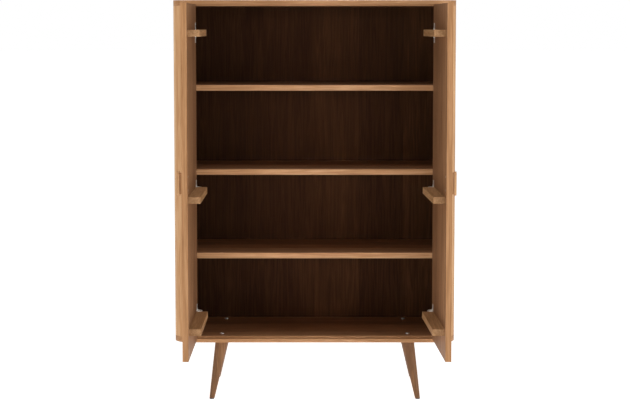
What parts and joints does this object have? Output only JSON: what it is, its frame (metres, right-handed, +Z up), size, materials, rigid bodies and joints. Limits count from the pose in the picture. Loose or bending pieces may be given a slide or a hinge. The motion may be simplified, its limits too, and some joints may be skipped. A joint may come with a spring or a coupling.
{
  "type": "two-door cabinet",
  "caption": "Tall wooden storage cabinet with rounded front corners, inset hinged doors, fixed-height shelves and splayed tapered legs.",
  "frame": {"origin": "on the floor, midway between the sides, in the plane of the shut doors' front faces", "axes": "+X to the cabinet's right as seen from the front, +Y from the front to the back, +Z up"},
  "size_m": [0.9, 0.7921, 1.28],
  "materials": {
    "oiled_oak": "oiled satin, solid staves",
    "leg_oak": "oiled satin, turned",
    "back_veneer": "oiled satin veneer",
    "dowel_beech": "plain turned",
    "nickel_steel": "nickel plated pressed steel",
    "bright_steel": "zinc plated",
    "nylon": "matte moulded"
  },
  "bodies": {
    "root": {"top_panel": "oiled_oak", "bottom_panel": "oiled_oak", "left_corner_post": "oiled_oak", "right_corner_post": "oiled_oak", "left_side_panel": "oiled_oak", "right_side_panel": "oiled_oak", "back_panel": "back_veneer", "shelf_lower": "oiled_oak", "shelf_middle": "oiled_oak", "shelf_upper": "oiled_oak", "shelf_pins": "bright_steel", "carcass_dowels": "dowel_beech", "back_panel_screws": "bright_steel", "leg_front_left": "leg_oak", "leg_front_right": "leg_oak", "leg_back_left": "leg_oak", "leg_back_right": "leg_oak", "leg_inserts": "bright_steel", "leg_bolts": "bright_steel", "foot_glides": "nylon", "left_hinge_plates": "nickel_steel", "left_hinge_arms": "nickel_steel", "left_plate_screws": "bright_steel", "right_hinge_plates": "nickel_steel", "right_hinge_arms": "nickel_steel", "right_plate_screws": "bright_steel"},
    "left_door": {"left_door_panel": "oiled_oak", "left_batten_lower": "oiled_oak", "left_batten_middle": "oiled_oak", "left_batten_upper": "oiled_oak", "left_batten_screws": "bright_steel", "left_hinge_cups": "nickel_steel", "left_cup_screws": "bright_steel", "left_pull": "oiled_oak", "left_pull_screws": "bright_steel"},
    "right_door": {"right_door_panel": "oiled_oak", "right_batten_lower": "oiled_oak", "right_batten_middle": "oiled_oak", "right_batten_upper": "oiled_oak", "right_batten_screws": "bright_steel", "right_hinge_cups": "nickel_steel", "right_cup_screws": "bright_steel", "right_pull": "oiled_oak", "right_pull_screws": "bright_steel"},
    "left_links": {"left_hinge_links": "nickel_steel"},
    "right_links": {"right_hinge_links": "nickel_steel"}
  },
  "joints": [
    {"name": "left_door_swing", "type": "hinge", "parent": "root", "child": "left_door", "pos_m": [-0.393, 0, 0.734], "axis": [0, 0, 1], "range_deg": [-15, 90]},
    {"name": "right_door_swing", "type": "hinge", "parent": "root", "child": "right_door", "pos_m": [0.393, 0, 0.734], "axis": [0, 0, -1], "range_deg": [-13, 92]},
    {"name": "left_link_fold", "type": "hinge", "parent": "root", "child": "left_links", "pos_m": [-0.3905, 0.0226, 0.734], "axis": [0, 0, 1], "range_deg": [-12.6, 70.3]},
    {"name": "right_link_fold", "type": "hinge", "parent": "root", "child": "right_links", "pos_m": [0.3905, 0.0226, 0.734], "axis": [0, 0, -1], "range_deg": [-11, 71.8]}
  ],
  "couplings": [
    {"joint": "left_link_fold", "follows": "left_door_swing", "ratio": 0.77},
    {"joint": "right_link_fold", "follows": "right_door_swing", "ratio": 0.77}
  ]
}
